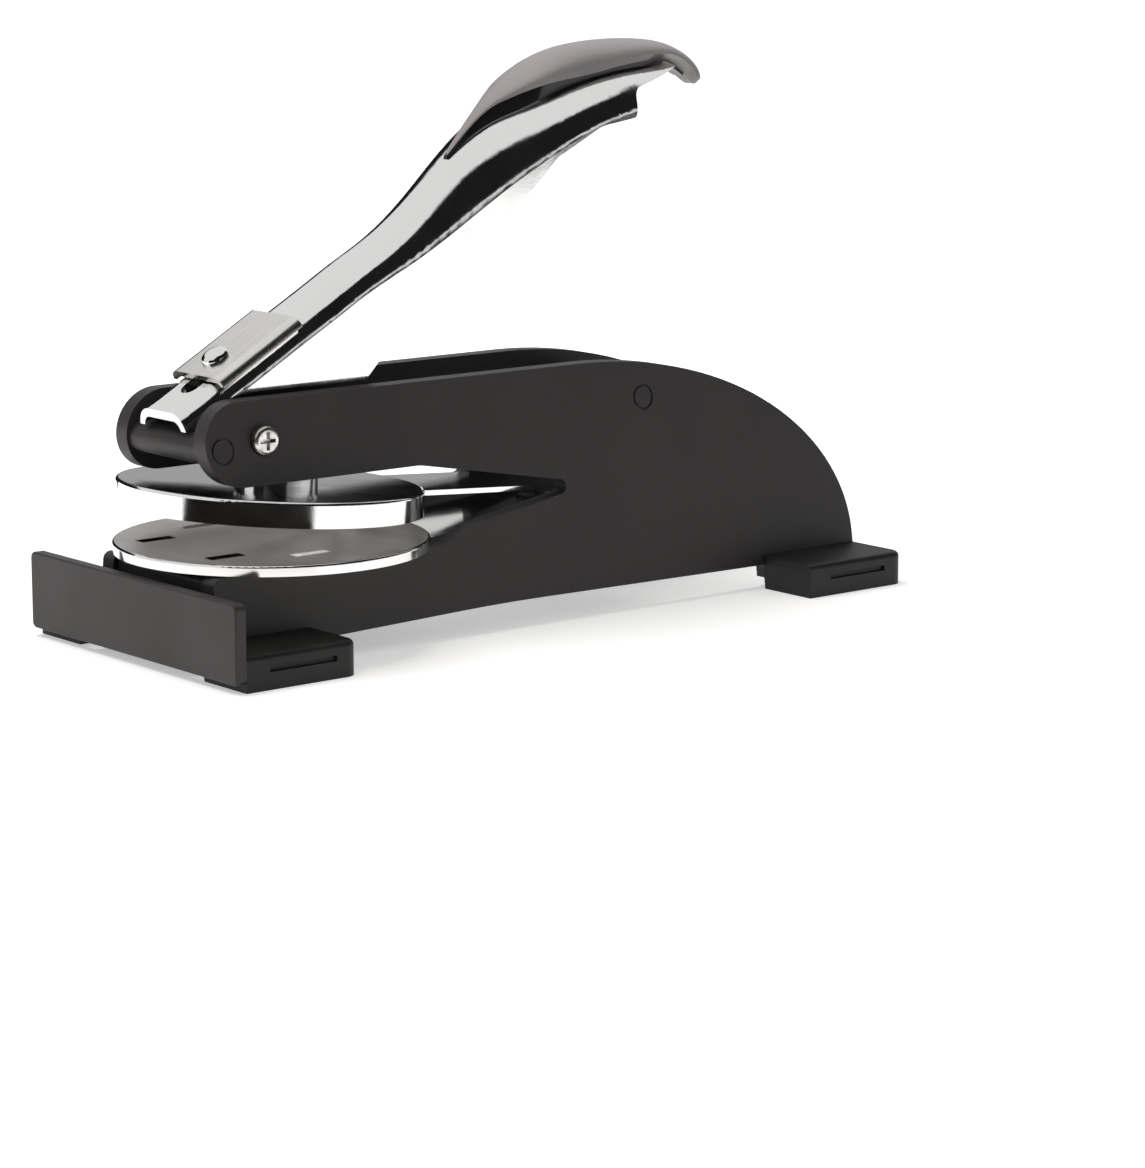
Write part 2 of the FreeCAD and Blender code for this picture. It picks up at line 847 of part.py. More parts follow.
def slide_body(half_width, rise, shoulder, start, end):
    """A saddle over the lever's straight run, level, with the nose at zero."""
    block = box((-half_width, half_width), (start, end), (-far, rise))
    top = edges_where(
        block,
        lambda e: e.BoundBox.YLength > slide_corner and e.CenterOfMass.z > rise - smallest_run,
    )
    return block.makeFillet(shoulder, top)


def lock_slide():
    rear = slide_start + slide_length
    top = running_gap + slide_sheet
    outer = slide_body(slide_half_width, top, slide_fold, slide_start, rear)
    inner_half_width = slide_half_width - slide_sheet
    inner_fold = slide_fold - slide_sheet
    inner = slide_body(inner_half_width, running_gap, inner_fold, slide_start - overrun, rear + overrun)
    saddle = outer.cut(inner)
    saddle = saddle.common(box((-far, far), (0, far), (-slide_skirt, far)))
    for step in range(slide_notch_count):
        place = rear - slide_notch_end - step * slide_notch_pitch
        saddle = saddle.cut(disc(place, slide_notch_radius, -far, far, -slide_half_width))
    saddle = saddle.cut(disc(lock_rivet_place, lock_rivet_radius + seat_gap, -overrun, overrun))
    return laid_on_run(saddle)


def lock_rivet():
    base = running_gap + slide_sheet
    head = disc(lock_rivet_place, lock_rivet_head_radius, base, base + lock_rivet_head_height)
    rim = edges_where(head, lambda e: e.CenterOfMass.z > base + lock_rivet_head_height - smallest_run)
    head = head.makeFillet(lock_rivet_head_height * rivet_dome_share, rim)
    under = lever_wall + running_gap + keeper_thickness
    return laid_on_run(head.fuse(disc(lock_rivet_place, lock_rivet_radius, -under, base)))


def lock_keeper():
    top = -lever_wall - running_gap
    plate = box(
        (-keeper_half_width, keeper_half_width),
        (lock_rivet_place - keeper_length / 2, lock_rivet_place + keeper_length / 2),
        (top - keeper_thickness, top),
    )
    return laid_on_run(plate.cut(disc(lock_rivet_place, lock_rivet_radius + seat_gap, -overrun, 0)))


# Die insert

def leaf(points, above):
    """A spring leaf: its outer face in side view, one thickness deep, rolled round the pin."""
    step = leaf_thickness if above else -leaf_thickness
    inner = [(y, z - step) for y, z in reversed(points)]
    outline = [(y, z, 0) for y, z in points + inner]
    strip = side_solid(rounded_edges(outline + outline[:1]), leaf_half_width)
    front = points[0][0]
    sheet = box((-leaf_half_width, leaf_half_width), (front, overall_length), (0, far))
    corners = edges_where(sheet, lambda e: lies_upright(e) and e.CenterOfMass.y < front + smallest_run)
    strip = strip.common(sheet.makeFillet(leaf_end_round, corners))
    eye = bar(hinge_place, hinge_height, hinge_pin_radius + seat_gap + leaf_thickness, leaf_half_width)
    return strip.fuse(eye).cut(bar(hinge_place, hinge_height, hinge_pin_radius + seat_gap, far))


def knuckle_space(outer_ones):
    """Room round the pin for the other leaf's knuckles."""
    near = (hinge_place - hinge_relief, overall_length)
    if not outer_ones:
        reach = middle_knuckle + running_gap
        return box((-reach, reach), near, (0, far))
    reach = middle_knuckle
    return box((-far, far), near, (0, far)).cut(box((-reach, reach), near, (0, far)))


def eye_level(side):
    """Height of a leaf's outer face where it runs on to the rolled eye."""
    return hinge_height + side * (hinge_pin_radius + seat_gap + leaf_thickness)


def lower_leaf():
    level = disc_top - disc_thickness - leaf_thickness
    points = [
        (lower_leaf_front, level),
        (lower_leaf_bend, level),
        (hinge_place, eye_level(-1)),
    ]
    return leaf(points, False).cut(knuckle_space(True))


def cap_plane(place, drop=0):
    """Height of the tilted cap's top, or of a level below it."""
    tilt = math.radians(cap_tilt)
    return cap_top - (place - cap_place) * math.tan(tilt) - drop / math.cos(tilt)


def upper_leaf():
    rim = cap_place + cap_radius
    points = [
        (upper_leaf_front, cap_plane(upper_leaf_front, cap_wall)),
        (rim, cap_plane(rim, cap_wall)),
        (hinge_place, eye_level(1)),
    ]
    strip = leaf(points, True).cut(knuckle_space(False))
    return strip.cut(tilted(button_spigot(button_spigot_radius + seat_gap)))


def hinge_pin():
    half_length = leaf_half_width + running_gap
    pin = bar(hinge_place, hinge_height, hinge_pin_radius, half_length)
    for start in (half_length, -half_length - hinge_pin_head_length):
        centre = vec(start, hinge_place, hinge_height)
        pin = pin.fuse(Part.makeCylinder(hinge_pin_head_radius, hinge_pin_head_length, centre, along_x))
    return pin


def lower_disc():
    plate = disc(disc_place, disc_radius, disc_top - disc_thickness, disc_top)
    plate = plate.makeFillet(disc_edge_round, edges_where(plate, lambda e: e.CenterOfMass.z > disc_top - smallest_run))
    half_slot = disc_slot_length / 2
    for across, behind in disc_slot_places:
        place = disc_place + behind
        slot = box(
            (across - disc_slot_width / 2, across + disc_slot_width / 2),
            (place - half_slot, place + half_slot),
            (0, far),
        )
        plate = plate.cut(slot)
    return plate


def tilted(shape):
    """Moves a shape built level about zero on to the upper holder's tilt."""
    shape = shape.copy()
    shape.rotate(vec(0, 0, 0), along_x, -cap_tilt)
    shape.translate(vec(0, cap_place, cap_top))
    return shape


def upper_cap():
    shell = disc(0, cap_radius, -cap_height, 0)
    shell = shell.makeFillet(cap_edge_round, edges_where(shell, lambda e: e.CenterOfMass.z > -smallest_run))
    shell = shell.cut(disc(0, cap_radius - cap_wall, -far, -cap_wall))
    shell = shell.cut(disc(button_offset, button_spigot_radius + seat_gap, -far, far))
    reach = leaf_half_width + 2 * seat_gap
    notch = box((-reach, reach), (0, far), (-cap_wall - leaf_thickness - 2 * seat_gap, -cap_wall))
    return tilted(shell.cut(notch))


def button_spigot(radius):
    return disc(button_offset, radius, -cap_wall - leaf_thickness, 0)


def press_button():
    body = disc(button_offset, button_radius, 0, button_height)
    ball = Part.makeSphere(button_crown, vec(0, button_offset, button_height - button_crown))
    body = body.common(ball)
    groove = disc(button_offset, button_radius + overrun, button_groove_level, button_groove_level + button_groove)
    core = disc(button_offset, button_radius - button_groove_depth, -overrun, far)
    body = body.cut(groove.cut(core))
    return tilted(body.fuse(button_spigot(button_spigot_radius)))


nodes = {
    "right_side_plate": side_plate,
    "left_side_plate": lambda: mirrored(side_plate()),
    "front_plate": front_plate,
    "anvil_bed": anvil_bed,
    "front_crossbar": front_crossbar,
    "front_rivet": front_rivet,
    "rear_spacer": rear_spacer,
    "rear_rivet": rear_rivet,
    "front_right_foot": front_boot,
    "front_left_foot": lambda: mirrored(front_boot()),
    "rear_right_foot": rear_boot,
    "rear_left_foot": lambda: mirrored(rear_boot()),
    "pivot_axle": pivot_axle,
    "pivot_collars": pivot_collars,
    "pivot_screws": pivot_screws,
    "lever": lever,
    "grip_base": grip_base,
    "lever_grip": lever_grip,
    "grip_screws": grip_screws,
    "press_bar": press_bar,
    "lock_slide": lock_slide,
    "lock_rivet": lock_rivet,
    "lock_keeper": lock_keeper,
    "lower_leaf": lower_leaf,
    "lower_disc": lower_disc,
    "hinge_pin": hinge_pin,
    "upper_leaf": upper_leaf,
    "upper_cap": upper_cap,
    "press_button": press_button,
}

os.makedirs("parts", exist_ok=True)
for name, make in nodes.items():
    piece = make().copy()
    piece.translate(vec(0, -overall_length / 2, 0))
    bounds = piece.BoundBox
    print(name, len(piece.Solids), piece.isValid(), "volume %.1f" % piece.Volume,
          "x %.2f..%.2f y %.2f..%.2f z %.2f..%.2f" % (
              bounds.XMin, bounds.XMax, bounds.YMin, bounds.YMax, bounds.ZMin, bounds.ZMax))
    piece.exportStep("parts/" + name + ".step")
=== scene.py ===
import bmesh
import bpy
import math
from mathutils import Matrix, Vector


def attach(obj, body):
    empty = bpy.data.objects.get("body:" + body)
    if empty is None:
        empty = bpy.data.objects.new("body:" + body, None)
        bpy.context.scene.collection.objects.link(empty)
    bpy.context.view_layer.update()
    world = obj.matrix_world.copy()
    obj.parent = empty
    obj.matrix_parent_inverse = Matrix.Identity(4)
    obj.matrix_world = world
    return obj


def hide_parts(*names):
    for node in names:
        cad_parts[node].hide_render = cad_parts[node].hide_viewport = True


# A seal embosser for a desk, dressed as the photographed one: charcoal painted cheeks on black
# rubber boots, a chromed lever with a moulded grip, and a bright slide-out die insert.
# The studio comes first, then the machine's finishes and pieces. Sizes are in metres.

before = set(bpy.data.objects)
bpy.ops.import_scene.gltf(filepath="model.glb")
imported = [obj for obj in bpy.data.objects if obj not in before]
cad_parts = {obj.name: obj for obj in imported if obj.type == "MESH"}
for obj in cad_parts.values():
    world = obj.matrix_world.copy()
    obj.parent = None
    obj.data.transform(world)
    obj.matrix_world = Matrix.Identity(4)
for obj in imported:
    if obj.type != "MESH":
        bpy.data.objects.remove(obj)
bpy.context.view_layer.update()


# The camera
# It stands in front and to the right of the machine, a little above the lever, with a long lens,
# so that both cheeks, the two round holders and the whole lever are seen.

camera_place = (0.484716, -0.379607, 0.124318)
camera_dip = 11.058         # degrees below level
camera_turn = 50.558        # degrees
camera_data = bpy.data.cameras.new("camera")
camera_data.lens = 117.12
camera_data.sensor_width = 36.0
camera_data.sensor_fit = "AUTO"
camera_data.clip_start = 0.01
camera = bpy.data.objects.new("camera", camera_data)
bpy.context.scene.collection.objects.link(camera)
camera.location = camera_place
camera.rotation_euler = (math.radians(90 - camera_dip), 0, math.radians(camera_turn))
bpy.context.scene.camera = camera


# The white floor
# A wide sweep of white paper. In polished metal, and only there, parts of it lie in the dark of
# the room: the black patch in the middle of a chromed rim, and the dark line at its left end.

floor_radius = 3.0
floor_points = 96
holder_middle = (0.0, -0.0422, 0.0)     # on the floor, under both round holders
patch_start = 0.121                     # how far from there the dark patch begins
patch_edge = 0.006                      # half the width of its soft edges
left_edge = (0.986, -0.168)             # it lies on this side of two lines through that middle
right_edge = (-0.084, -0.9965)
cap_left_end = (-0.018, -0.064, 0.0)    # on the floor, under the left end of the upper cap
left_way = (-0.906, 0.423, 0.0)         # the middle of the dark wedge that starts there
wedge_opening = (0.950, 0.960)
wedge_start = (0.170, 0.176)
paper_end = (0.90, 1.00)
glow_reach = (0.12, 0.24)               # the paper shines less under the machine than beyond it
glow_levels = (0.42, 0.75)
smallest_reach = 0.001
paper_grain = (900.0, 3.0)              # scale and detail of a noise, here and below
paper_dark = (0.800, 0.785, 0.770)
paper_light = (0.830, 0.820, 0.805)
room_black = (0.012, 0.011, 0.010, 1)


def new_material(name):
    """An empty node material, its node tree, its output and the place on the piece."""
    material = bpy.data.materials.new(name)
    material.use_nodes = True
    tree = material.node_tree
    tree.nodes.clear()
    output = tree.nodes.new("ShaderNodeOutputMaterial")
    return material, tree, output, add(tree, "ShaderNodeTexCoord").outputs["Object"]


def add(tree, kind, links=(), **settings):
    """One node, with its settings by name and its inputs linked or set."""
    node = tree.nodes.new(kind)
    for key, value in settings.items():
        setattr(node, key, value)
    for socket, value in links:
        if isinstance(value, bpy.types.NodeSocket):
            tree.links.new(value, node.inputs[socket])
        else:
            node.inputs[socket].default_value = value
    return node


def sums(tree, operation, first, second):
    """One sum on two numbers or sockets."""
    return add(tree, "ShaderNodeMath", [(0, first), (1, second)], operation=operation).outputs[0]


def places(tree, operation, first, second=(0.0, 0.0, 0.0)):
    """One sum on two places: a place for a difference, else a number."""
    node = add(tree, "ShaderNodeVectorMath", [(0, first), (1, second)], operation=operation)
    return node.outputs["Vector" if operation == "SUBTRACT" else "Value"]


def ramp(tree, value, low, high, start=0.0, end=1.0):
    """A value that goes from start to end while another goes from low to high."""
    node = add(tree, "ShaderNodeMapRange", [
        ("Value", value), ("From Min", low), ("From Max", high), ("To Min", start), ("To Max", end)])
    return node.outputs[0]


def noise(tree, place, scale, detail, distortion=0.0):
    node = add(tree, "ShaderNodeTexNoise", [
        ("Vector", place), ("Scale", scale), ("Detail", detail), ("Distortion", distortion)])
    return node.outputs["Fac"]


def two_tone(tree, value, dark, light, low=0.0, high=1.0):
    """A colour that goes from dark to light while a value goes from low to high."""
    node = add(tree, "ShaderNodeValToRGB", [("Fac", value)])
    first, last = node.color_ramp.elements
    first.position = low
    first.color = (*dark, 1)
    last.position = high
    last.color = (*light, 1)
    return node.outputs["Color"]


def beyond(tree, parts, way):
    """1 on one side of a line over the floor through the holders' middle, soft at the line."""
    offs = [sums(tree, "SUBTRACT", parts.outputs[axis], holder_middle[axis]) for axis in (0, 1)]
    across, along = [sums(tree, "MULTIPLY", off, share) for off, share in zip(offs, way)]
    return ramp(tree, sums(tree, "ADD", across, along), -patch_edge, patch_edge)


def dark_floor(tree, place, reach):
    """1 where the floor lies in the dark of the room."""
    parts = add(tree, "ShaderNodeSeparateXYZ", [(0, place)])
    sector = sums(tree, "MULTIPLY", beyond(tree, parts, left_edge), beyond(tree, parts, right_edge))
    far_off = ramp(tree, reach, patch_start - patch_edge, patch_start + patch_edge)
    patch = sums(tree, "MULTIPLY", sector, far_off)
    from_cap = places(tree, "SUBTRACT", place, cap_left_end)
    off = places(tree, "LENGTH", from_cap)
    lean = places(tree, "DOT_PRODUCT", from_cap, left_way)
    opening = sums(tree, "DIVIDE", lean, sums(tree, "ADD", off, smallest_reach))
    wedge = sums(tree, "MULTIPLY", ramp(tree, opening, *wedge_opening), ramp(tree, off, *wedge_start))
    return sums(tree, "MAXIMUM", patch, sums(tree, "MAXIMUM", ramp(tree, reach, *paper_end), wedge))


def white_sweep():
    material, tree, output, place = new_material("white_sweep")
    reach = places(tree, "DISTANCE", place, holder_middle)
    ray = add(tree, "ShaderNodeLightPath").outputs
    dark = sums(tree, "MULTIPLY", dark_floor(tree, place, reach), ray["Is Glossy Ray"])
    tint = two_tone(tree, noise(tree, place, *paper_grain), paper_dark, paper_light)
    paper = add(tree, "ShaderNodeBsdfDiffuse", [("Color", tint)])
    shown = sums(tree, "MAXIMUM", ray["Is Camera Ray"], ray["Is Glossy Ray"])
    level = sums(tree, "MULTIPLY", shown, ramp(tree, reach, *glow_reach, *glow_levels))
    glow = add(tree, "ShaderNodeEmission", [("Strength", level)])
    lit = add(tree, "ShaderNodeAddShader", [(0, paper.outputs[0]), (1, glow.outputs[0])])
    black = add(tree, "ShaderNodeBsdfDiffuse", [("Color", room_black)])
    both = add(tree, "ShaderNodeMixShader", [(0, dark), (1, lit.outputs[0]), (2, black.outputs[0])])
    tree.links.new(both.outputs[0], output.inputs["Surface"])
    return material


bpy.ops.object.select_all(action="DESELECT")
bpy.ops.mesh.primitive_circle_add(
    vertices=floor_points, radius=floor_radius, fill_type="NGON", location=(0, 0, 0))
floor = bpy.context.object
floor.name = "floor"
floor.data.materials.append(white_sweep())


# The light
# A white tent with a broad soft lamp overhead. Polished metal also shows the room beyond it: dark
# at the right, in front, low all round and at the far left, and half dark at the rear left.

tent_light = 0.55           # on painted and matt pieces
shown_tent = 0.97           # in polished metal
room_level = 0.012          # what is left of it where the room is dark
rear_share = 0.55
# of each dark part: lowest and highest sky, and half the width of its soft edges
right_band = (0.10, 0.88, 0.02)
low_band = (-0.5, 0.035, 0.02)
front_band = (-0.5, 0.34, 0.03)
left_band = (-0.5, 0.56, 0.02)
rear_band = (-0.5, 0.26, 0.04)
# of each dark part: its compass point, and how far the sky leans there where it starts and is full
right_view = (1.0, 0.25, 0.12, 0.22)
left_view = (-1.0, 0.0, 0.84, 0.87)
rear_view = (-0.80, 0.60, 0.40, 0.70)
front_soft = (-0.02, 0.02)
lamp_place = Vector((-0.20, -0.10, 0.75))
lamp_aim = Vector((0, 0, 0.03))
lamp_side = 0.55
lamp_power = 4.2

bpy.context.scene.view_settings.view_transform = "Standard"
world = bpy.data.worlds.new("studio")
bpy.context.scene.world = world
world.use_nodes = True
sky = world.node_tree
sky.nodes.clear()
sky_way = add(sky, "ShaderNodeSeparateXYZ", [(0, add(sky, "ShaderNodeTexCoord").outputs["Generated"])])


def band(low, high, soft):
    """1 between two heights of the sky, soft at both ends."""
    height = sky_way.outputs["Z"]
    rise = ramp(sky, height, low - soft, low + soft)
    return sums(sky, "MULTIPLY", rise, ramp(sky, height, high - soft, high + soft, 1.0, 0.0))


def toward(x, y, low, high):
    """1 where the sky lies towards one point of the compass, fading to 0 away from it."""
    across = sums(sky, "MULTIPLY", sky_way.outputs["X"], x)
    along = sums(sky, "MULTIPLY", sky_way.outputs["Y"], y)
    return ramp(sky, sums(sky, "ADD", across, along), low, high)


front_way = sums(sky, "MULTIPLY", toward(*left_edge, *front_soft), toward(*right_edge, *front_soft))
room_right = sums(sky, "MULTIPLY", band(*right_band), toward(*right_view))
room_low = band(*low_band)
room_front = sums(sky, "MULTIPLY", band(*front_band), front_way)
left_wall = sums(sky, "MULTIPLY", band(*left_band), toward(*left_view))
rear_wall = sums(sky, "MULTIPLY", band(*rear_band), toward(*rear_view))
darkest = sums(sky, "MULTIPLY", rear_wall, rear_share)
for part in (room_right, room_low, room_front, left_wall):
    darkest = sums(sky, "MAXIMUM", darkest, part)
seen = add(sky, "ShaderNodeLightPath").outputs
glossy = sums(sky, "MULTIPLY", darkest, seen["Is Glossy Ray"])
extra = sums(sky, "MULTIPLY", seen["Is Glossy Ray"], shown_tent - tent_light)
light = sums(sky, "ADD", tent_light, extra)
level = sums(sky, "MULTIPLY", light, ramp(sky, glossy, 0.0, 1.0, 1.0, room_level))
tent = add(sky, "ShaderNodeBackground", [("Strength", level)])
plain = add(sky, "ShaderNodeBackground", [("Strength", 1.0)])
choice = add(sky, "ShaderNodeMixShader", [
    (0, seen["Is Camera Ray"]), (1, tent.outputs[0]), (2, plain.outputs[0])])
sky.links.new(choice.outputs[0], add(sky, "ShaderNodeOutputWorld").inputs["Surface"])

lamp = bpy.data.lights.new("top_lamp", "AREA")
lamp.shape = "RECTANGLE"
lamp.size = lamp_side
lamp.size_y = lamp_side
lamp.energy = lamp_power
top_lamp = bpy.data.objects.new("top_lamp", lamp)
bpy.context.scene.collection.objects.link(top_lamp)
top_lamp.location = lamp_place
top_lamp.rotation_euler = (lamp_aim - lamp_place).to_track_quat("-Z", "Y").to_euler()
top_lamp.visible_glossy = False


# Cheeks, front plate, bed, crossbar, spacer and their rivets
# Pressed and bent steel under one satin coat of charcoal enamel: fine orange peel, faint clouds in
# the colour, and a lighter colour along the edges that is partly the coat rubbed thin and partly a painted
# highlight.

noise_spread = (0.3, 0.7)   # most values of a noise lie between these
relief_height = 0.0001
enamel_clouds = (55.0, 5.0)
enamel_spread = (0.35, 0.70)
enamel_rough = (0.40, 0.52)
enamel_specular = 0.42
enamel_peel = (2200.0, 2.0)
peel_strength = 0.12
speck_scale = 420.0
speck_size = (0.06, 0.12)
speck_share = 0.18
enamel_dark = (0.0300, 0.0272, 0.0262)
enamel_light = (0.0360, 0.0328, 0.0316)
enamel_dust = (0.075, 0.070, 0.066, 1)
# lighter edge colour: partly rubbed-thin enamel, partly a painted edge highlight
enamel_edge_wear_highlight = (0.070, 0.065, 0.062, 1)
edge_wear_highlight_radius = 0.0004
edge_wear_highlight_bend = (0.02, 0.30)
edge_wear_highlight_samples = 4
edge_wear_highlight_breaks = (700.0, 4.0)
edge_wear_highlight_spread = (0.40, 0.62)


def dress(names, material):
    """Give nodes of the solid model one finish."""
    for name in names:
        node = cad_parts[name]
        node.data.materials.clear()
        node.data.materials.append(material)


def blend(tree, share, first, second):
    """A colour between two colours or colour sockets."""
    node = add(tree, "ShaderNodeMix", data_type="RGBA")
    share_socket = node.inputs["Factor"]
    for socket, value in ((share_socket, share), (node.inputs[6], first), (node.inputs[7], second)):
        if isinstance(value, bpy.types.NodeSocket):
            tree.links.new(value, socket)
        else:
            socket.default_value = value
    return node.outputs[2]


def relief(tree, height, strength, distance=relief_height, under=None):
    """Fine relief from a height, on its own or over another relief."""
    node = add(tree, "ShaderNodeBump", [("Height", height), ("Strength", strength), ("Distance", distance)])
    if under:
        tree.links.new(under, node.inputs["Normal"])
    return node.outputs[0]


def coat(tree, output, colour, roughness, normal, metallic=0.0, specular=0.5):
    """The surface of a material."""
    node = add(tree, "ShaderNodeBsdfPrincipled", [
        ("Base Color", colour), ("Roughness", roughness), ("Normal", normal), ("Metallic", metallic),
        ("Specular IOR Level", specular)])
    tree.links.new(node.outputs[0], output.inputs["Surface"])


def edge_wear_and_highlight(tree, place):
    """1 along the sharp edges of a piece, broken up by a fine noise: the coat's wear and a painted edge
    highlight.
    """
    rounded = add(tree, "ShaderNodeBevel", [("Radius", edge_wear_highlight_radius)], samples=edge_wear_highlight_samples).outputs[0]
    true_way = add(tree, "ShaderNodeNewGeometry").outputs["Normal"]
    low, high = edge_wear_highlight_bend
    edge = ramp(tree, places(tree, "DOT_PRODUCT", rounded, true_way), 1.0 - low, 1.0 - high)
    return sums(tree, "MULTIPLY", edge, ramp(tree, noise(tree, place, *edge_wear_highlight_breaks), *edge_wear_highlight_spread))


def charcoal_enamel():
    material, tree, output, place = new_material("charcoal_enamel")
    clouds = noise(tree, place, *enamel_clouds)
    specks = add(tree, "ShaderNodeTexVoronoi", [("Vector", place), ("Scale", speck_scale)])
    colour = two_tone(tree, clouds, enamel_dark, enamel_light, *enamel_spread)
    dust = ramp(tree, specks.outputs["Distance"], *speck_size, speck_share, 0.0)
    dusty = blend(tree, dust, colour, enamel_dust)
    # the edges are lightened, partly as wear and partly as a painted highlight
    worn_and_highlit = blend(tree, edge_wear_and_highlight(tree, place), dusty, enamel_edge_wear_highlight)
    rough = ramp(tree, clouds, *noise_spread, *enamel_rough)
    peel = relief(tree, noise(tree, place, *enamel_peel), peel_strength)
    coat(tree, output, worn_and_highlit, rough, peel, specular=enamel_specular)
    return material


dress([
    "right_side_plate", "left_side_plate", "front_plate", "anvil_bed", "front_crossbar", "front_rivet",
    "rear_spacer", "rear_rivet"], charcoal_enamel())


# Rubber boots
# Four black rubber boots, moulded in one piece and pushed over the tabs of the cheeks. The rubber
# has a fine matt grain from the mould and greys a little where dust stays.

rubber_dark = (0.0100, 0.0093, 0.0085)
rubber_light = (0.0200, 0.0188, 0.0175)
rubber_clouds = (120.0, 5.0)
rubber_spread = (0.4, 0.8)
rubber_rough = 0.52
rubber_specular = 0.38
rubber_grain = (1800.0, 3.0)
rubber_grain_strength = 0.2


def boot_rubber():
    material, tree, output, place = new_material("boot_rubber")
    clouds = noise(tree, place, *rubber_clouds)
    colour = two_tone(tree, clouds, rubber_dark, rubber_light, *rubber_spread)
    grain = relief(tree, noise(tree, place, *rubber_grain), rubber_grain_strength)
    coat(tree, output, colour, rubber_rough, grain, specular=rubber_specular)
    return material


dress(["front_right_foot", "front_left_foot", "rear_right_foot", "rear_left_foot"], boot_rubber())


# Lever, lock rivet, upper cap, upper leaf and button
# Steel pressings, polished and chromed. The plating is bright with a faint haze, fine rubbing
# marks and a slow ripple left by the press.

chrome_dark = (0.84, 0.835, 0.825)
chrome_light = (0.90, 0.900, 0.895)
chrome_haze = (140.0, 5.0)
haze_spread = (0.3, 0.75)
chrome_rough = (0.05, 0.15)
press_ripple = (60.0, 1.0)
ripple_strength = 0.02
ripple_height = 0.001
rub_marks = (3000.0, 2.0)
rub_strength = 0.03


def chrome_plate():
    material, tree, output, place = new_material("chrome_plate")
    haze = noise(tree, place, *chrome_haze)
    slow = relief(tree, noise(tree, place, *press_ripple), ripple_strength, distance=ripple_height)
    fine = relief(tree, noise(tree, place, *rub_marks), rub_strength, under=slow)
    tint = two_tone(tree, haze, chrome_dark, chrome_light)
    coat(tree, output, tint, ramp(tree, haze, *haze_spread, *chrome_rough), fine, metallic=1.0)
    return material


dress(["lever", "lock_rivet", "upper_cap", "upper_leaf", "press_button"], chrome_plate())


# Lower leaf
# The lower spring leaf of the die insert: chromed steel strip, bright where it shows behind the
# disc, and painted dark as shade, and left duller, where the disc covers it.

leaf_dark = (0.80, 0.79, 0.775)
leaf_light = (0.88, 0.875, 0.865)
# near-black painted shade for the leaf where the disc covers it
leaf_painted_shade = (0.045, 0.038, 0.034, 1)
leaf_rough = (0.06, 0.16)
under_disc_dulling = 0.3
disc_cover = (-0.021, -0.018)       # the leaf turns from painted shade to bright between these places


def leaf_steel():
    material, tree, output, place = new_material("leaf_steel")
    haze = noise(tree, place, *chrome_haze)
    parts = add(tree, "ShaderNodeSeparateXYZ", [(0, place)])
    covered = ramp(tree, parts.outputs["Y"], *disc_cover, 1.0, 0.0)
    # painted shade on the leaf under the disc
    colour = blend(tree, covered, two_tone(tree, haze, leaf_dark, leaf_light), leaf_painted_shade)
    dull = sums(tree, "MULTIPLY", covered, under_disc_dulling)
    rough = sums(tree, "ADD", ramp(tree, haze, *haze_spread, *leaf_rough), dull)
    rubs = relief(tree, noise(tree, place, *rub_marks), rub_strength)
    coat(tree, output, colour, rough, rubs, metallic=1.0)
    return material


dress(["lower_leaf"], leaf_steel())


# Pivot screws
# Two domed cross-head screws, zinc plated: softer and greyer than the chrome, and stained here and
# there by handling and the driver.

zinc_dark = (0.50, 0.49, 0.46)
zinc_light = (0.78, 0.77, 0.75)
zinc_stain = (900.0, 4.0)
zinc_spread = (0.38, 0.62)
zinc_rough = (0.36, 0.24)
zinc_grain = (4200.0, 2.0)
zinc_grain_strength = 0.10


def zinc_plate():
    material, tree, output, place = new_material("zinc_plate")
    stain = noise(tree, place, *zinc_stain)
    tint = two_tone(tree, stain, zinc_dark, zinc_light, *zinc_spread)
    grain = relief(tree, noise(tree, place, *zinc_grain), zinc_grain_strength)
    coat(tree, output, tint, ramp(tree, stain, *noise_spread, *zinc_rough), grain, metallic=1.0)
    return material


dress(["pivot_screws"], zinc_plate())


# Axle, collars, press bar, keeper, hinge pin and grip screws
# Turned and cut from plain steel and left bare, with the fine rings of the turning tool and a few
# dull stains. Most of them show only from below or when the insert is drawn out.

steel_dark = (0.34, 0.33, 0.32)
steel_light = (0.48, 0.47, 0.46)
steel_stain = (300.0, 4.0)
steel_rough = (0.26, 0.42)
ring_stretch = (5200.0, 40.0, 40.0)
ring_noise = (1.0, 2.0)
ring_strength = 0.10


def stretched(tree, place, scale, turn=0.0):
    """The place on a piece, stretched for marks that run one way."""
    links = [("Vector", place), ("Scale", scale), ("Rotation", (0.0, 0.0, turn))]
    return add(tree, "ShaderNodeMapping", links).outputs[0]


def turned_steel():
    material, tree, output, place = new_material("turned_steel")
    rings = relief(tree, noise(tree, stretched(tree, place, ring_stretch), *ring_noise), ring_strength)
    stain = noise(tree, place, *steel_stain)
    tint = two_tone(tree, stain, steel_dark, steel_light)
    coat(tree, output, tint, ramp(tree, stain, *noise_spread, *steel_rough), rings, metallic=1.0)
    return material


dress([
    "pivot_axle", "pivot_collars", "grip_screws", "press_bar", "lock_keeper", "hinge_pin"], turned_steel())


# Lower die disc
# A punched steel disc with four slots, brushed crosswise and left a dull grey-beige on top, with
# darker streaks from handling. Its rim is polished.

disc_dark = (0.50, 0.455, 0.430)
disc_light = (0.66, 0.615, 0.590)
disc_rim = (0.88, 0.875, 0.865, 1)
disc_rough = (0.30, 0.42)
rim_rough = 0.10
rim_to_top = (0.90, 0.98)           # upward share of a face's direction
brush_turn = 0.35
brush_stretch = (120.0, 4200.0, 120.0)
brush_noise = (1.0, 3.0)
brush_strength = 0.03
streak_stretch = (26.0, 90.0, 26.0)
streak_noise = (1.0, 4.0, 0.6)      # with its distortion
streak_spread = (0.30, 0.70)


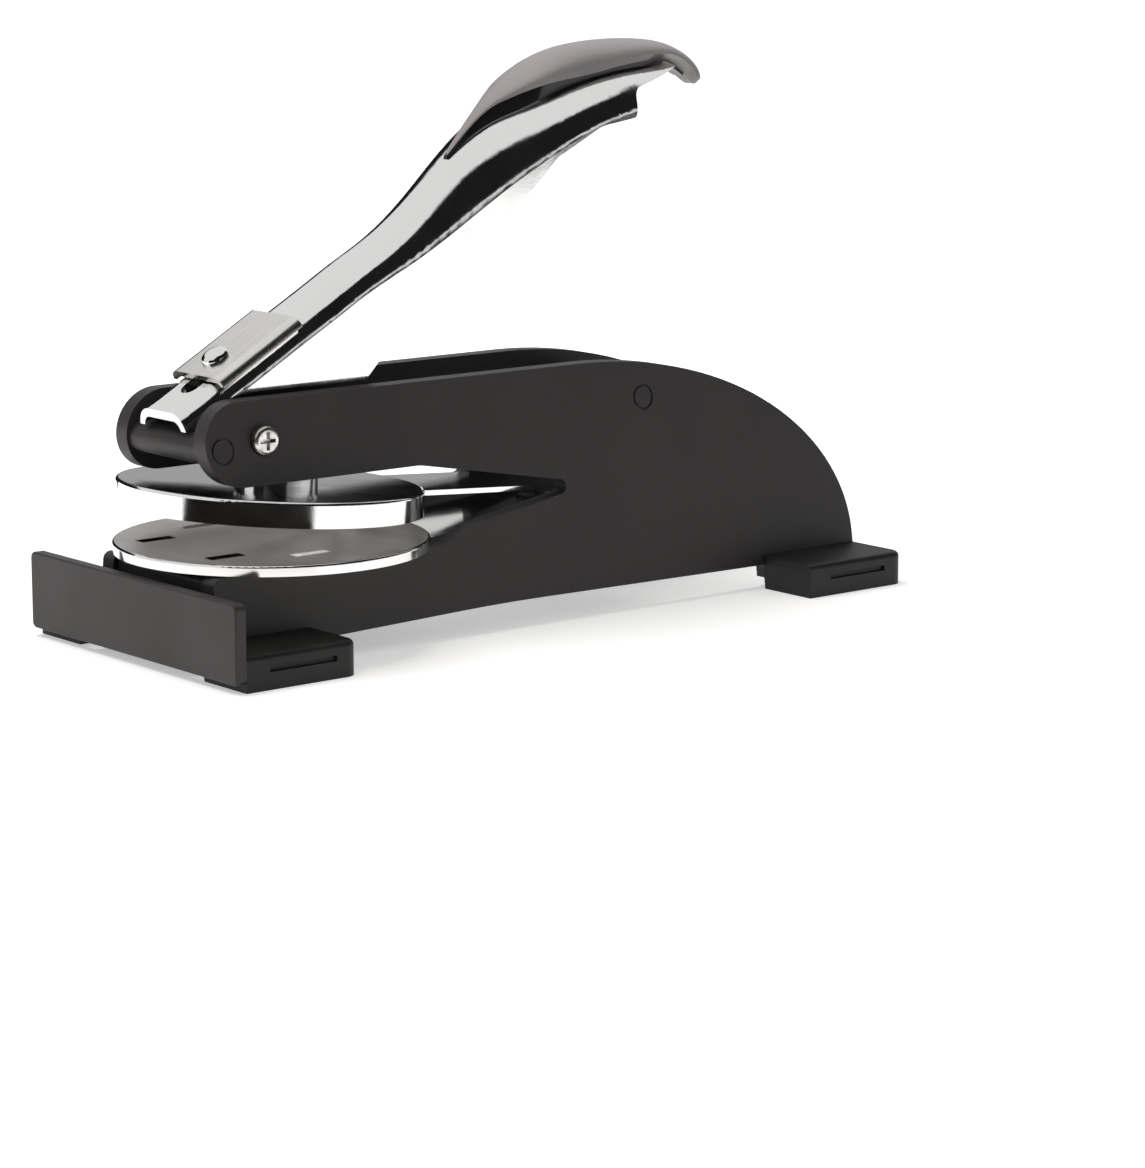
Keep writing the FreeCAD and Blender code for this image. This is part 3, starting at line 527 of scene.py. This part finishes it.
def brushed_disc():
    material, tree, output, place = new_material("brushed_disc")
    lines = noise(tree, stretched(tree, place, brush_stretch, brush_turn), *brush_noise)
    streaks = noise(tree, stretched(tree, place, streak_stretch, brush_turn), *streak_noise)
    tint = two_tone(tree, streaks, disc_dark, disc_light, *streak_spread)
    facing = add(tree, "ShaderNodeSeparateXYZ", [(0, add(tree, "ShaderNodeNewGeometry").outputs["Normal"])])
    top = ramp(tree, facing.outputs["Z"], *rim_to_top)
    satin = sums(tree, "MULTIPLY", ramp(tree, lines, *noise_spread, *disc_rough), top)
    rough = sums(tree, "MAXIMUM", rim_rough, satin)
    brushed = relief(tree, lines, sums(tree, "MULTIPLY", top, brush_strength))
    coat(tree, output, blend(tree, top, disc_rim, tint), rough, brushed, metallic=1.0)
    return material


dress(["lower_disc"], brushed_disc())


# Lock slide
# A small saddle of chromed sheet with a brushed top, folded over the lever's back and held by a
# domed rivet. Its far edge has three finger notches. The real one's lettering is left off.

slide_dark = (0.80, 0.780, 0.755)
slide_light = (0.90, 0.885, 0.865)
slide_clouds = (260.0, 4.0)
slide_rough = (0.18, 0.34)
slide_stretch = (5200.0, 120.0, 120.0)
slide_lines = (1.0, 4.0)
slide_line_strength = 0.05


def brushed_chrome():
    material, tree, output, place = new_material("brushed_chrome")
    lines = noise(tree, stretched(tree, place, slide_stretch), *slide_lines)
    tint = two_tone(tree, noise(tree, place, *slide_clouds), slide_dark, slide_light)
    rough = ramp(tree, lines, *noise_spread, *slide_rough)
    coat(tree, output, tint, rough, relief(tree, lines, slide_line_strength), metallic=1.0)
    return material


dress(["lock_slide"], brushed_chrome())


# Grip cap
# A mauve-grey cap of moulded plastic with a fine satin grain. It starts as a thin beak on the
# lever's neck, swells over the palm and curls down past the palm's end. Screws hold it from inside.

mm = 0.001
frame_middle = 68.9         # mm, from the front plate's face to the frame's middle
pivot_height = 34.7         # mm
ring_points = 32
stations = 64
crisp_angle = 45            # degrees, edges sharper than this stay crisp
ring_tolerance = 0.001
touch = 2e-6
cap_side = 0.28             # share of the cap's height that is a straight side
cap_dark = (0.290, 0.262, 0.266)
cap_light = (0.325, 0.294, 0.298)
cap_rough = 0.42
cap_grain_strength = 0.06
plastic_clouds = (70.0, 4.0)
plastic_grain = (1700.0, 2.0)
rough_wander = 0.05
# place, crown, rim, half width, half width of the rim; in mm, heights above the pivot
cap_rows = (
    (61.8, 40.6, 40.3, 0.4, 0.4),
    (64.0, 43.1, 42.6, 0.7, 0.7),
    (66.0, 45.2, 44.6, 1.0, 1.0),
    (68.0, 47.1, 46.4, 1.4, 1.4),
    (70.0, 48.8, 47.9, 2.1, 2.1),
    (72.0, 50.3, 48.9, 3.1, 3.1),
    (74.0, 51.7, 49.8, 4.1, 4.1),
    (76.7, 53.3, 50.7, 5.0, 5.0),
    (80.5, 55.2, 51.6, 5.8, 5.8),
    (84.7, 56.6, 52.2, 6.2, 6.2),
    (89.0, 57.3, 52.9, 6.4, 6.4),
    (92.8, 57.6, 53.6, 6.5, 6.5),
    (98.0, 57.7, 54.2, 6.4, 6.2),
    (102.0, 57.5, 54.4, 6.1, 5.0),
    (105.0, 57.1, 54.2, 5.5, 3.3),
    (108.0, 56.2, 53.3, 4.7, 2.0),
    (111.0, 54.9, 51.5, 3.8, 1.4),
    (113.0, 53.6, 49.9, 3.0, 1.1),
    (114.2, 52.6, 49.7, 2.0, 0.9),
    (114.8, 51.8, 50.6, 1.0, 0.6),
)


def smooth_row(rows, place):
    """The sizes of a section at one place, on a smooth curve through the rows of its table."""
    last = len(rows) - 1
    spot = max(index for index in range(last) if index == 0 or rows[index][0] <= place)
    before, low, high, after = [rows[min(max(spot + step, 0), last)] for step in (-1, 0, 1, 2)]
    length = high[0] - low[0]
    share = (place - low[0]) / length
    left = 1 - share
    values = []
    for column in range(1, len(low)):
        slope_low = (high[column] - before[column]) / (high[0] - before[0])
        slope_high = (after[column] - low[column]) / (after[0] - low[0])
        from_low = low[column] * (1 + 2 * share) + slope_low * length * share
        from_high = high[column] * (1 + 2 * left) - slope_high * length * left
        values.append(from_low * left ** 2 + from_high * share ** 2)
    return values


def pick(piece, wanted):
    """Select the vertices of a piece in edit mode that fit a test on their place."""
    sheet = bmesh.from_edit_mesh(piece.data)
    bpy.ops.mesh.select_all(action="DESELECT")
    for vert in sheet.verts:
        if wanted(vert.co):
            vert.select = True
    sheet.select_flush(True)
    bmesh.update_edit_mesh(piece.data)


def at(place, height):
    """A place along the lever and a height above the pivot, both in mm, as a point of the frame."""
    return (0, (place - frame_middle) * mm, (height + pivot_height) * mm)


def swept(name, rows, side):
    """A closed bar along the lever: a flat foot, straight sides up to a share, and a domed top."""
    first, last = rows[0][0], rows[-1][0]
    stops = [first + (last - first) * (1 - math.cos(math.pi * step / stations)) / 2
             for step in range(stations + 1)]
    sections = [smooth_row(rows, place) for place in stops]
    top, foot, half = sections[0][:3]
    start = at(first, foot)

    # The first section comes from a wide disc: its lower half is pressed flat and its upper half
    # set on straight sides, and then it shrinks to size.
    bpy.ops.object.select_all(action="DESELECT")
    bpy.ops.mesh.primitive_circle_add(vertices=ring_points, radius=1.0, fill_type="NGON", location=start,
                                      rotation=(math.pi / 2, 0, 0))
    piece = bpy.context.object
    piece.name = name
    bpy.ops.object.transform_apply(location=True, rotation=True, scale=True)
    bpy.ops.object.mode_set(mode="EDIT")
    bpy.context.tool_settings.mesh_select_mode = (True, False, False)
    pick(piece, lambda point: point.z < start[2] - ring_tolerance)
    bpy.ops.transform.resize(value=(1, 1, 0), center_override=start)
    pick(piece, lambda point: point.z > start[2] + ring_tolerance or abs(point.x) > 1 - ring_tolerance)
    bpy.ops.transform.resize(value=(1, 1, 1 - side), center_override=start)
    bpy.ops.transform.translate(value=(0, 0, side))
    bpy.ops.mesh.select_all(action="SELECT")
    bpy.ops.transform.resize(value=(half * mm, 1, (top - foot) * mm), center_override=start)

    # It is drawn out from stop to stop, and grows or shrinks at each.
    for step in range(1, stations + 1):
        old_top, old_foot, old_half = sections[step - 1][:3]
        new_top, new_foot, new_half = sections[step][:3]
        move = (0, (stops[step] - stops[step - 1]) * mm, (new_foot - old_foot) * mm)
        growth = (new_half / old_half, 1, (new_top - new_foot) / (old_top - old_foot))
        bpy.ops.mesh.extrude_region_move(TRANSFORM_OT_translate={"value": move})
        bpy.ops.transform.resize(value=growth, center_override=at(stops[step], new_foot))

    # The flat foot gets its own width at each stop.
    for place, (top, foot, half, foot_half) in zip(stops, sections):
        here = at(place, foot)
        pick(piece, lambda point: abs(point.y - here[1]) < touch and abs(point.z - here[2]) < touch)
        bpy.ops.transform.resize(value=(foot_half / half, 1, 1), center_override=here)
    bpy.ops.mesh.select_all(action="SELECT")
    bpy.ops.mesh.normals_make_consistent(inside=False)
    bpy.ops.object.mode_set(mode="OBJECT")
    bpy.ops.object.shade_smooth_by_angle(angle=math.radians(crisp_angle))
    return piece


def moulded_plastic(name, dark, light, roughness, grain_strength):
    """Faint clouds in the colour, a fine grain, and a sheen that wanders a little."""
    material, tree, output, place = new_material(name)
    clouds = noise(tree, place, *plastic_clouds)
    tint = two_tone(tree, clouds, dark, light, *noise_spread)
    grain = relief(tree, noise(tree, place, *plastic_grain), grain_strength)
    sheen = ramp(tree, clouds, *noise_spread, roughness - rough_wander, roughness + rough_wander)
    coat(tree, output, tint, sheen, grain)
    return material


grip_cap = swept("grip_cap", cap_rows, cap_side)
grip_cap.data.materials.append(
    moulded_plastic("grip_plastic", cap_dark, cap_light, cap_rough, cap_grain_strength))
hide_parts("lever_grip")
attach(grip_cap, "lever_arm")


# Grip base
# A glossy black plastic base that fills the gap between the cap and the lever's rounded back. Its black
# is painted shade: it shows as a dark crescent under the cap's edge, where the cap's underside lies in
# shade, and runs out as a beak on the lever's neck.

base_side = 0.85
# near-black colour, painted as the shade under the cap's edge
base_shade_dark = (0.010, 0.009, 0.009)
base_shade_light = (0.016, 0.015, 0.015)
base_rough = 0.30
base_grain_strength = 0.04
# place, top, foot, half width at the top, half width on the lever; in mm, heights as for the cap
base_rows = (
    (61.6, 40.2, 39.0, 0.4, 0.5),
    (63.4, 42.1, 40.0, 0.6, 0.8),
    (65.4, 44.2, 41.6, 0.8, 1.3),
    (67.4, 46.1, 43.0, 1.0, 2.1),
    (70.3, 48.3, 44.9, 1.9, 3.1),
    (73.6, 49.9, 46.6, 3.6, 4.2),
    (77.0, 51.0, 48.0, 4.8, 4.8),
    (80.4, 52.0, 49.3, 5.4, 5.1),
    (88.9, 53.4, 51.3, 6.0, 5.8),
    (97.8, 54.8, 52.5, 5.9, 5.8),
    (101.0, 55.0, 52.8, 5.2, 5.2),
    (105.0, 54.7, 53.0, 3.2, 3.3),
    (108.0, 53.8, 52.6, 1.9, 1.9),
    (111.0, 52.1, 51.1, 1.3, 1.3),
)

grip_foot = swept("grip_foot", base_rows, base_side)
grip_foot.data.materials.append(
    moulded_plastic("base_plastic", base_shade_dark, base_shade_light, base_rough, base_grain_strength))
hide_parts("grip_base")
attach(grip_foot, "lever_arm")
